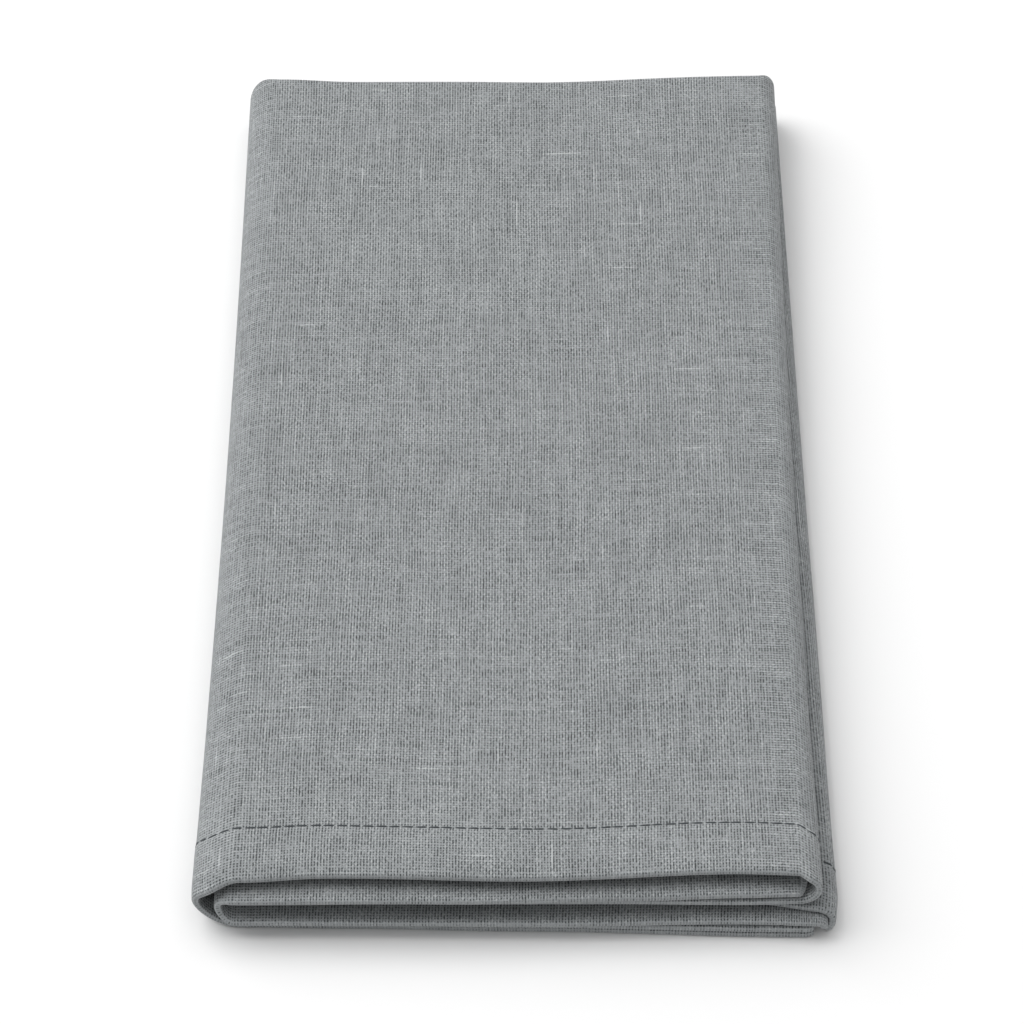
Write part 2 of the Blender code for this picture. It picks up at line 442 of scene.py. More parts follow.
    def bend_start(self, name: str, y: Array, half: Array) -> Array:
        """Where a bend leaves the level, as x: its furthest reach less its width, f h on its own side."""
        side = math.copysign(1.0, self.folds[name].front_x)
        return self.fold_x(name, y) - side * self.fold_flatness(name, y) * half

    def bend(
        self, name: str, share: Array, y: Array, turn: Array, first: Array, last: Array
    ) -> tuple[Array, Array]:
        """A fold's point on half an ellipse between the heights of the two panels that it joins.

        Args:
            name: The fold's name.
            share: The share of the half turn, from 0 to 1.
            y: Places along the cloth.
            turn: 1 on the outer ply and -1 on the inner one.
            first: The height of the panel that the path leaves.
            last: The height of the panel that it comes to.

        Returns:
            x = start + side f h sin(pi share) and z = middle - d cos(pi share), with h half the height between
            the panels, f the ply's own flatness and d half of the climb.
        """
        fold = self.folds[name]
        half = np.abs(last - first) / 2.0
        tightness = (1.0 + turn * float(fold.tight_ply)) / 2.0
        flatness = blend(self.fold_flatness(name, y), fold.tight_flatness, tightness)
        reach = math.copysign(1.0, fold.front_x) * flatness * half
        x = self.bend_start(name, y, half) + reach * np.sin(np.pi * share)
        return x, (first + last) / 2.0 - (last - first) / 2.0 * np.cos(np.pi * share)

    def mid_line(self, path: Array, y: Array, turn: Array) -> tuple[Array, Array]:
        """The middle line's x and z at each place on the path, for each y, as each ply follows it.

        Args:
            path: Places on the path.
            y: Places along the cloth.
            turn: 1 on the outer ply and -1 on the inner one.

        Returns:
            x and z: on each stretch its panel's straight line or its fold's half ellipse.
        """
        stretch = np.clip(np.floor(path), Stretch.BOTTOM, Stretch.THIRD)
        share = path - stretch
        second = self.stack_height("second", y) + 0.0 * share
        third = self.stack_height("third", y)
        foot = self.bottom_height(float(Stretch.OUTER_LEFT) + 0.0 * path, y)
        left_top = self.top_height(self.fold_x("outer left", y), y)
        right_top = self.top_height(self.fold_x("right", y), y)
        outer = self.bend_start("outer left", y, (left_top - foot) / 2.0)
        right = self.bend_start("right", y, (right_top - second) / 2.0)
        inner = self.bend_start("inner left", y, (second - third) / 2.0)
        top_x = blend(outer, right, share)
        points = [
            (blend(self.edge_x("bottom", y), outer, share), self.bottom_height(path, y)),
            self.bend("outer left", share, y, turn, foot, left_top),
            (top_x, self.top_height(top_x, y)),
            self.bend("right", share, y, turn, right_top, second),
            (blend(right, inner, share), second),
            self.bend("inner left", share, y, turn, second, third),
            self.third_point(inner, share, y),
        ]
        here = [stretch == number for number in range(Stretch.END)]
        points = [np.broadcast_arrays(x, z, path + y + turn)[:2] for x, z in points]
        here = [np.broadcast_to(flag, points[0][0].shape) for flag in here]
        return np.select(here, [x for x, z in points]), np.select(here, [z for x, z in points])

    def points(self, path: Array, y: Array, turn: Array, offset: Array) -> Array:
        """Points beside the middle line, square to the section's path.

        Args:
            path: Places on the path.
            y: Places along the cloth.
            turn: 1 on the outer ply and -1 on the inner one.
            offset: How far each point lies to the left of the path's own direction.

        Returns:
            The points, with the middle line's tangent taken from places just before and after each.
        """
        before_x, before_z = self.mid_line(np.clip(path - self.path_nudge, 0.0, Stretch.END), y, turn)
        after_x, after_z = self.mid_line(np.clip(path + self.path_nudge, 0.0, Stretch.END), y, turn)
        run = np.hypot(after_x - before_x, after_z - before_z)
        x, z = self.mid_line(path, y, turn)
        x = x - offset * (after_z - before_z) / run - self.origin[0]
        z = z + offset * (after_x - before_x) / run
        return np.stack(np.broadcast_arrays(x, y - self.origin[1], z), axis=-1)

    def solid_spread(self, path: Array, y: Array) -> Array:
        """Half the distance between the middles of the solid's two plies, blended round each fold.

        Args:
            path: Places on the path.
            y: Places along the cloth.

        Returns:
            The panels' spreads, with a cubic step round each fold.
        """
        bottom, top, second, third = (self.panel_spread(name, y) for name in self.panels)
        spread = blend(bottom, top, smooth(path, Stretch.OUTER_LEFT, Stretch.TOP))
        spread = blend(spread, second, smooth(path, Stretch.RIGHT, Stretch.SECOND))
        return blend(spread, third, smooth(path, Stretch.INNER_LEFT, Stretch.THIRD))

    def shortened(self, path: Array, turn: Array) -> Array:
        """The path with the third panel's inner ply drawn back from its side hem, as it was cut no longer.

        Args:
            path: Places on the path.
            turn: 1 on the outer ply and -1 on the inner one.

        Returns:
            The path's places, less a cubic share of the missing length.
        """
        span = self.shorter_from / self.panel_width
        share = smooth(path, Stretch.END - span, Stretch.END) * (1.0 - turn) / 2.0
        return path - self.shorter_ply / self.panel_width * share


@dataclass(frozen=True)
class Swell:
    """One soft swell of the cloth: a long wave, as height, wavelength, bearing and phase."""

    height: float
    wavelength: float
    bearing: float
    phase: float

    def at(self, x: Array, y: Array) -> Array:
        """height sin(2 pi d / wavelength + phase), with d the distance along the bearing."""
        along = x * math.cos(self.bearing) + y * math.sin(self.bearing)
        return self.height * np.sin(2.0 * np.pi * along / self.wavelength + self.phase)


def swell_table() -> tuple[Swell, ...]:
    """The soft waves that keep the flat panels from being level.

    Returns:
        The waves, the highest first.
    """
    return (
        Swell(0.10, 71.0, 0.35, 0.4),
        Swell(0.08, 53.0, 1.25, 1.9),
        Swell(0.05, 31.0, 2.30, 3.3),
        Swell(0.035, 23.0, 0.90, 5.1),
        Swell(0.02, 14.0, 1.75, 0.7),
    )


@dataclass
class NapkinCloth:
    """The cloth itself: one sheet of hemmed linen, about half a millimetre thick, on the solid's folds."""

    fold: FoldedPath = field(default_factory=FoldedPath)
    ply: float = 0.55
    hem: float = 1.34
    nose_reach: float = 0.58
    nose_power: float = 2.7
    droop: float = 0.42
    droop_length: float = 2.6
    droop_stretch: tuple[float, float] = (1.35, 3.2)
    droop_ease: float = 0.4
    stitch_line: float = 11.4
    groove_depth: float = 0.14
    groove_width: float = 0.45
    swells: tuple[Swell, ...] = field(default_factory=swell_table)
    swell_full_height: float = 12.0
    swell_limit: float = 1.2
    tip_share: float = 0.12
    nose_steps: int = 6
    hem_lengths: tuple[float, ...] = (
        0.8, 1.5, 2.5, 3.6, 5.0, 6.6, 8.2, 9.6, 10.5, 10.95, 11.15, 11.4, 11.65, 11.85, 12.3, 12.8, 13.6, 15.0,
    )
    body_steps: int = 52
    bend_steps: int = 12
    bottom_steps: int = 26
    flat_steps: int = 40
    outer_fold_steps: int = 28
    tight_fold_steps: int = 22
    inner_fold_shows: tuple[float, float, float, float] = (4.7, 4.8, 6.2, 6.3)
    outside: Array = field(init=False, repr=False)
    inside: Array = field(init=False, repr=False)
    stations: Array = field(init=False, repr=False)

    def __post_init__(self) -> None:
        """Works out both faces of the cloth before any mesh is made."""
        self.stations = self.path_stations()
        path = self.stations[:, None]
        self.outside = self.face_points(path, Face.OUTSIDE)
        self.inside = self.face_points(path, Face.INSIDE)

    def nose_lengths(self) -> Array:
        """Distances from a hem's edge: r (1 - cos a)^1.5 for even angles a up to a quarter turn."""
        angles = np.linspace(0.0, np.pi / 2.0, self.nose_steps + 1)
        return self.nose_reach * (1.0 - np.cos(angles)) ** 1.5

    def path_stations(self) -> Array:
        """The path's stations: even on each stretch, with more over the side hems and at their edges.

        Returns:
            Places on the path, in order and each only once.
        """
        side = np.concatenate([self.nose_lengths(), np.array(self.hem_lengths)]) / self.fold.panel_width
        rest = side[-1]
        spans = (
            (Stretch.BOTTOM + rest, Stretch.OUTER_LEFT, self.bottom_steps),
            (Stretch.OUTER_LEFT, Stretch.TOP, self.outer_fold_steps + 1),
            (Stretch.TOP, Stretch.RIGHT, self.flat_steps + 1),
            (Stretch.RIGHT, Stretch.SECOND, self.tight_fold_steps + 1),
            (Stretch.SECOND, Stretch.INNER_LEFT, self.bottom_steps + 1),
            (Stretch.INNER_LEFT, Stretch.THIRD, self.tight_fold_steps + 1),
            (Stretch.THIRD, Stretch.END - rest, self.bottom_steps),
        )
        steps = [Stretch.BOTTOM + side, Stretch.END - side] + [np.linspace(*span) for span in spans]
        return np.unique(np.round(np.concatenate(steps), 9))

    def roundness(self, distance: Array) -> Array:
        """The share of the full thickness near an edge: (1 - (1 - d / r)^n)^(1 / n), and never quite 0."""
        inward = 1.0 - np.clip(distance / self.nose_reach, 0.0, 1.0)
        return np.maximum((1.0 - inward**self.nose_power) ** (1.0 / self.nose_power), self.tip_share)

    def face_offset(self, path: Array, y: Array, fronts: Array, face: Face) -> Array:
        """The distance from the middle line to one face of the thin cloth.

        Args:
            path: Places on the path.
            y: Places along the cloth.
            fronts: The ply's own front edge at each place.
            face: The face of the cloth.

        Returns:
            The solid's outer face, less half the cloth's thickness, plus or minus that half where it is rounded.
        """
        from_front = y - fronts
        hem = self.fold.hem_share(path, from_front)
        solid = blend(self.fold.solid_ply, self.fold.solid_hem, hem)
        half = blend(self.ply, self.hem, hem) / 2.0
        middle = self.fold.solid_spread(path, y) + solid / 2.0 - half - self.front_droop(path, from_front)
        edge = self.roundness(from_front) * self.roundness(self.fold.from_free_side(path))
        if face is Face.INSIDE:
            return middle - half * edge
        front = self.groove(from_front / self.fold.hem_stretch(path))
        groove = front + self.groove(self.fold.from_free_side(path))
        return middle + half * edge - self.groove_depth * np.clip(groove, 0.0, 1.0)

    def front_droop(self, path: Array, from_front: Array) -> Array:
        """How far the top panel's front hem rolls in at its edge: a cubic along the cloth and across the panel.

        Args:
            path: Places on the path.
            from_front: Distances from the ply's front edge.

        Returns:
            How far the cloth's middle moves in.
        """
        start, end = self.droop_stretch
        panel = smooth(path, start, start + self.droop_ease) * (1.0 - smooth(path, end - self.droop_ease, end))
        return self.droop * panel * (1.0 - smooth(from_front, 0.0, self.droop_length))

    def groove(self, distance: Array) -> Array:
        """The stitch line's own hollow: a bell, exp(-(d / w)^2), about the line."""
        return np.exp(-(((distance - self.stitch_line) / self.groove_width) ** 2))

    def lengths(self, path: Array, face: Face) -> tuple[Array, Array]:
        """Where the ring's points lie along the cloth: down the outer ply, round the far bend and back.

        Args:
            path: Places on the path, as a column.
            face: The face of the cloth.

        Returns:
            y, and the turn: 1 on the outer ply, -1 on the inner one, and a cosine between them.
        """
        fronts = [self.fold.cross_edge(path, name) for name in ("outer_front", "inner_front")]
        spread = self.fold.panels["top"].far_spread
        bend_start = self.fold.cross_edge(path, "far") - spread
        stretched = np.array(self.hem_lengths) * self.fold.hem_stretch(path)
        nose = np.broadcast_to(self.nose_lengths()[1:], (len(path), self.nose_steps))
        near = np.concatenate([nose, stretched], axis=1)
        shares = np.linspace(0.0, 1.0, self.body_steps + 1)[1:]
        legs = []
        for front in fronts:
            start = front + near[:, -1:]
            legs.append(np.concatenate([front + near, start + (bend_start - start) * shares], axis=1))
        angles = np.linspace(0.0, np.pi, self.bend_steps + 1)[1:-1]
        radius = spread + self.fold.solid_ply / 2.0
        if face is Face.INSIDE:
            radius = radius - self.ply
        y = np.concatenate([legs[0], bend_start + radius * np.sin(angles), legs[1][:, ::-1]], axis=1)
        straight = np.ones(legs[0].shape[1])
        return y, np.concatenate([straight, np.cos(angles), -straight])

    def face_points(self, path: Array, face: Face) -> Array:
        """One face of the doubled cloth, as an array of stations by ring points by x, y and z.

        Args:
            path: Places on the path, as a column.
            face: The face of the cloth.

        Returns:
            The points, each its face's offset beside the middle line.
        """
        y, turn = self.lengths(path, face)
        bend_start = self.fold.cross_edge(path, "far") - self.fold.panels["top"].far_spread
        outer = self.fold.cross_edge(path, "outer_front")
        inner = self.fold.cross_edge(path, "inner_front")
        fronts = np.where(turn > 0.0, outer, inner)
        offset = turn * self.face_offset(path, np.minimum(y, bend_start), fronts, face)
        return self.settled(self.fold.points(self.fold.shortened(path, turn), y, turn, offset))

    def noses(self, column: str, ply: Ply) -> Array:
        """The foremost line of one ply's front hem, halfway through its thickness.

        Args:
            column: The field of CrossEdge that holds the ply's front edge.
            ply: The ply.

        Returns:
            Stations by one point by x, y and z.
        """
        path = self.stations[:, None]
        y = self.fold.cross_edge(path, column)
        middle = self.fold.solid_spread(path, y) + self.fold.solid_hem / 2.0 - self.hem / 2.0
        middle = middle - self.front_droop(path, 0.0 * path)
        turn = float(ply) + 0.0 * path
        return self.settled(self.fold.points(self.fold.shortened(path, turn), y, turn, float(ply) * middle))

    def settled(self, points: Array) -> Array:
        """Points moved up and down by the soft swells, by a share that grows with their height.

        Args:
            points: Points in millimetres, with x, y and z last.

        Returns:
            The points with z + s^2 times the sum of the swells, and s the share of the height.
        """
        x, y, z = points[..., 0], points[..., 1], points[..., 2]
        rise = sum(swell.at(x, y) for swell in self.swells)
        share = np.clip(z / self.swell_full_height, 0.0, self.swell_limit)
        return np.stack([x, y, z + rise * share * share], axis=-1)

    def thread_lengths(self) -> Array:
        """How far each station lies across the unfolded cloth, as a share of the square.

        The length is measured along the outside of the outer ply, and round the inner left fold along that of
        the inner ply, which is the one that shows there.

        Returns:
            0 at the bottom panel's side hem to 1 at the third panel's.
        """
        row = self.outside.shape[1] // 4
        outer, inner = self.outside[:, row], self.outside[:, -1 - row]
        halfway = (self.stations[1:] + self.stations[:-1]) / 2.0
        fold = smooth(halfway, *self.inner_fold_shows[:2]) * (1.0 - smooth(halfway, *self.inner_fold_shows[2:]))
        steps = [np.linalg.norm(np.diff(face, axis=0), axis=-1) for face in (outer, inner)]
        along = np.concatenate([[0.0], np.cumsum(blend(steps[0], steps[1], fold))])
        return along / along[-1]

    def fold_places(self) -> tuple[float, ...]:
        """Where the three lengthwise folds lie across the unfolded cloth, in millimetres.

        Returns:
            The middle of each bend: outer left, right and inner left.
        """
        middles = [stretch + 0.5 for stretch in (Stretch.OUTER_LEFT, Stretch.RIGHT, Stretch.INNER_LEFT)]
        places = np.interp(middles, self.stations, self.thread_lengths()) * self.fold.square
        return tuple(places.tolist())

    def ring_lengths(self, ring: Array) -> Array:
        """How far each ring point lies along the unfolded cloth, as a share of the square, for each station.

        Args:
            ring: Stations by ring points by x, y and z.

        Returns:
            The sum of the steps up to each point, over the sum of all.
        """
        steps = np.linalg.norm(np.diff(ring, axis=1), axis=-1)
        along = np.concatenate([np.zeros((len(ring), 1)), np.cumsum(steps, axis=1)], axis=1)
        return along / along[:, -1:]

    def build(self) -> bpy.types.Object:
        """The cloth as one closed piece.

        Returns:
            The piece: each station's ring runs from the outer ply's nose along the outside to the inner ply's
            nose and back along the inside, and a strip closes each free side. Its map is in shares of the
            square, across and along.
        """
        first = self.noses("outer_front", Ply.OUTER)
        last = self.noses("inner_front", Ply.INNER)
        outside = np.concatenate([first, self.outside, last], axis=1)
        inside = np.concatenate([first, self.inside, last], axis=1)
        ring = np.concatenate([outside, inside[:, -2:0:-1]], axis=1)
        along = np.concatenate([self.ring_lengths(outside), self.ring_lengths(inside)[:, -2:0:-1]], axis=1)
        across = np.broadcast_to(self.thread_lengths()[:, None], along.shape)
        faces = ring_faces(*ring.shape[:2])
        piece = mesh_piece("napkin_cloth", ring.reshape(-1, 3), faces)
        write_map(piece, "cloth", np.stack([across, along], axis=-1).reshape(-1, 2))
        return piece


def ring_faces(stations: int, ring: int) -> list[list[int]]:
    """The faces of a closed ring of points swept through the stations, with a strip closing each end.

    Args:
        stations: How many rings there are.
        ring: How many points each ring has. The point halfway round faces the first one.

    Returns:
        Quads between neighbours, and at each end quads between each point and the one opposite it.
    """
    index = np.arange(stations * ring).reshape(stations, ring)
    ahead = np.roll(index, -1, axis=1)
    quads = np.stack([index[:-1], index[1:], ahead[1:], ahead[:-1]], axis=-1).reshape(-1, 4)
    half = ring // 2
    outer = np.arange(1, half)
    inner = ring - outer
    strip = np.stack([outer[:-1], outer[1:], inner[1:], inner[:-1]], axis=-1)
    tips = np.array([[0, 1, ring - 1], [half, half + 1, half - 1]])
    last = (stations - 1) * ring
    faces = quads.tolist() + strip.tolist() + tips.tolist()
    return faces + (strip[:, ::-1] + last).tolist() + (tips[:, ::-1] + last).tolist()


def mesh_piece(name: str, points: Array, faces: list[list[int]]) -> bpy.types.Object:
    """Puts a surface into the scene, smooth shaded, with its object at the origin.

    Args:
        name: The piece's name.
        points: Its vertices in millimetres.
        faces: Its faces as vertex numbers.

    Returns:
        The new object.
    """
    mesh = bpy.data.meshes.new(name)
    mesh.from_pydata((points * MM).tolist(), [], faces)
    mesh.shade_smooth()
    piece = bpy.data.objects.new(name, mesh)
    bpy.context.scene.collection.objects.link(piece)
    return piece


def write_map(piece: bpy.types.Object, name: str, places: Array) -> None:
    """Gives each corner of a mesh its vertex's own place on a map.

    Args:
        piece: The mesh object.
        name: The map's name.
        places: One pair of numbers for each vertex.
    """
    mesh = piece.data
    corners = np.zeros(len(mesh.loops), np.int32)
    mesh.loops.foreach_get("vertex_index", corners)
    layer = mesh.uv_layers.new(name=name)
    layer.data.foreach_set("uv", places[corners].astype(np.float32).ravel())


@dataclass
class HemStitching:
    """The machine stitches along the middle of every hem's inner side, on the outside of the doubled cloth."""

    cloth: NapkinCloth
    pitch: float = 2.36
    length: float = 2.32
    thickness: float = 0.37
    taper: float = 0.30
    lift: float = 0.02
    dive: float = 0.18
    unevenness: float = 0.035
    tip_share: float = 0.06
    steps: int = 7
    sides: int = 6
    seed: int = 11

    def hem_lines(self) -> list[tuple[Array, Array]]:
        """The stitch lines and their outward directions: both front hems, then both side hems.

        Returns:
            For each line its points and the unit directions from inside to outside.
        """
        outside, inside = self.cloth.outside, self.cloth.inside
        column = self.cloth.nose_steps + self.cloth.hem_lengths.index(self.cloth.stitch_line)
        side = self.cloth.stitch_line / self.cloth.fold.panel_width
        rows = [int(np.argmin(np.abs(self.cloth.stations - place))) for place in (side, Stretch.END - side)]
        lines = [(outside[:, n], outside[:, n] - inside[:, n]) for n in (column, -1 - column)]
        across = slice(column, -column)
        lines += [(outside[n, across], outside[n, across] - inside[n, across]) for n in rows]
        return [(line, out / np.linalg.norm(out, axis=-1, keepdims=True)) for line, out in lines]

    def stitches_on(self, line: Array, out: Array, random: np.random.Generator) -> Array:
        """The tubes of one line's stitches.

        Args:
            line: Points along the hem.
            out: The cloth's outward direction at each.
            random: Where the small unevenness comes from.

        Returns:
            Stitches by steps by sides by x, y and z. Each stitch's height over the cloth is
            lift - dive t^4, with t from -1 to 1, and its radius is r (1 + taper t) sqrt(1 - t^6), with the
            root's inside held above a small share.
        """
        along = np.concatenate([[0.0], np.cumsum(np.linalg.norm(np.diff(line, axis=0), axis=-1))])
        count = int(along[-1] // self.pitch)
        starts = (np.arange(count) + 0.5) * along[-1] / count
        starts = starts + random.normal(0.0, self.unevenness * self.pitch, count)
        reach = self.length / 2.0 * (1.0 + random.normal(0.0, self.unevenness, count))
        t = np.linspace(-1.0, 1.0, self.steps)
        places = starts[:, None] + reach[:, None] * t
        spine = np.stack([np.interp(places, along, line[:, axis]) for axis in range(3)], axis=-1)
        up = np.stack([np.interp(places, along, out[:, axis]) for axis in range(3)], axis=-1)
        up = up / np.linalg.norm(up, axis=-1, keepdims=True)
        forward = np.gradient(spine, axis=1)
        forward = forward / np.linalg.norm(forward, axis=-1, keepdims=True)
        beside = np.cross(forward, up)
        slant = random.normal(0.0, self.unevenness, count)[:, None] * t
        sink = self.lift - self.dive * t**4
        spine = spine + up * sink[:, None] + beside * slant[..., None]
        radius = self.thickness / 2.0 * (1.0 + self.taper * t) * np.sqrt(np.maximum(1.0 - t**6, self.tip_share))
        angles = np.arange(self.sides) * 2.0 * np.pi / self.sides
        ring = np.cos(angles)[:, None] * beside[:, :, None] + np.sin(angles)[:, None] * up[:, :, None]
        return spine[:, :, None] + radius[:, None, None] * ring

    def tube_faces(self, count: int) -> list[list[int]]:
        """Quads round each stitch, and one face over each of its ends.

        Args:
            count: How many stitches there are.

        Returns:
            The faces as vertex numbers.
        """
        size = self.steps * self.sides
        index = np.arange(size).reshape(self.steps, self.sides)
        ahead = np.roll(index, -1, axis=1)
        quads = np.stack([index[:-1], ahead[:-1], ahead[1:], index[1:]], axis=-1).reshape(-1, 4)
        caps = np.stack([index[0, ::-1], index[-1]])
        starts = np.arange(count)[:, None, None] * size
        return (quads + starts).reshape(-1, 4).tolist() + (caps + starts).reshape(-1, self.sides).tolist()

    def build(self) -> bpy.types.Object:
        """All the stitches as one piece.

        Returns:
            The piece, with the same unevenness each time.
        """
        random = np.random.default_rng(self.seed)
        tubes = np.concatenate([self.stitches_on(line, out, random) for line, out in self.hem_lines()])
        return mesh_piece("hem_stitches", tubes.reshape(-1, 3), self.tube_faces(len(tubes)))


def feed(tree: bpy.types.NodeTree, node: bpy.types.Node, values: "tuple[Wire | float, ...]") -> "Wire":
    """Gives a node its inputs.

    Args:
        tree: The material's node tree.
        node: One of its nodes.
        values: The node's inputs in order, as values or numbers.

    Returns:
        The node's first output.
    """
    for number, value in enumerate(values):
        if isinstance(value, Wire):
            tree.links.new(value.socket, node.inputs[number])
        else:
            node.inputs[number].default_value = value
    return Wire(tree, node.outputs[0])


@dataclass(frozen=True)
class Wire:
    """One value in a material's node tree, worked on with the usual signs."""

    tree: bpy.types.NodeTree
    socket: bpy.types.NodeSocket

    def math(self, operation: str, *others: "Wire | float") -> "Wire":
        """Adds one math node whose first input is this value.

        Args:
            operation: The node's own name for the sum.
            others: The further inputs, as values or numbers.

        Returns:
            The node's result.
        """
        node = self.tree.nodes.new("ShaderNodeMath")
        node.operation = operation
        return feed(self.tree, node, (self, *others))

    def __add__(self, other: "Wire | float") -> "Wire":
        """The sum."""
        return self.math("ADD", other)

    def __sub__(self, other: "Wire | float") -> "Wire":
        """The difference."""
        return self.math("SUBTRACT", other)

    def __mul__(self, other: "Wire | float") -> "Wire":
        """The product."""
        return self.math("MULTIPLY", other)

    def floor(self) -> "Wire":
        """The whole number below."""
        return self.math("FLOOR")

    def flipped(self, whole: float) -> "Wire":
        """What is left of a whole."""
        return self * -1.0 + whole

    def part(self, number: int) -> "Wire":
        """One part of this vector.

        Args:
            number: 0, 1 or 2, for x, y or z.

        Returns:
            That part.
        """
        split = self.tree.nodes.new("ShaderNodeSeparateXYZ")
        self.tree.links.new(self.socket, split.inputs[0])
        return Wire(self.tree, split.outputs[number])

    def between(self, low: float, high: float, start: float = 0.0, end: float = 1.0) -> "Wire":
        """A soft step from start to end, as this value goes from low to high.

        Args:
            low: Where the step starts.
            high: Where it ends.
            start: The result up to low.
            end: The result from high on.

        Returns:
            start + (end - start) (3 s^2 - 2 s^3), with s the share of the way from low to high.
        """
        node = self.tree.nodes.new("ShaderNodeMapRange")
        node.interpolation_type = "SMOOTHSTEP"
        self.tree.links.new(self.socket, node.inputs["Value"])
        for name, value in (("From Min", low), ("From Max", high), ("To Min", start), ("To Max", end)):
            node.inputs[name].default_value = value
        return Wire(self.tree, node.outputs["Result"])


@dataclass(frozen=True)
class Patches:
    """Soft noise: its features per millimetre, how many finer sizes it has besides, and how much it counts."""

    scale: float
    detail: float
    share: float


@dataclass(frozen=True)
class ThreadNoise:
    """Soft noise along threads: how far apart two threads lie in it, its features per millimetre of a thread, its
    plane, how many finer sizes it has besides, and how much it counts."""

    spacing: float
    stretch: float
    plane: float
    detail: float
    share: float


@dataclass(frozen=True)
class Weave:
    """Adds the parts of a woven pattern to one material's node tree."""

    tree: bpy.types.NodeTree

    def vector(self, x: Wire | float, y: Wire | float, z: Wire | float = 0.0) -> Wire:
        """Three values as one vector."""
        return feed(self.tree, self.tree.nodes.new("ShaderNodeCombineXYZ"), (x, y, z))

    def noise(self, place: Wire, patches: Patches) -> Wire:
        """Soft noise about 0, up to half its share on either side.

        Args:
            place: Where the noise is read, as a vector.
            patches: The noise.

        Returns:
            The noise.
        """
        node = self.tree.nodes.new("ShaderNodeTexNoise")
        node.inputs["Scale"].default_value = patches.scale
        node.inputs["Detail"].default_value = patches.detail
        self.tree.links.new(place.socket, node.inputs["Vector"])
        return (Wire(self.tree, node.outputs["Fac"]) - 0.5) * patches.share

    def along_threads(self, number: Wire, along: Wire, noise: ThreadNoise) -> Wire:
        """Soft noise about 0 along each thread, which no two threads share.

        Args:
            number: The thread's number.
            along: The place along it.
            noise: The noise.

        Returns:
            The noise, up to half its share on either side.
        """
        place = self.vector(number * noise.spacing, along * noise.stretch, noise.plane)
        return self.noise(place, Patches(1.0, noise.detail, noise.share))

    def map_places(self, name: str, size: float) -> tuple[Wire, Wire]:
        """The two places on a map, in millimetres of the unfolded cloth.

        Args:
            name: The map's name.
            size: The length of its side, in millimetres.

        Returns:
            The places across and along.
        """
        source = self.tree.nodes.new("ShaderNodeUVMap")
        source.uv_map = name
        place = Wire(self.tree, source.outputs["UV"])
        return place.part(0) * size, place.part(1) * size


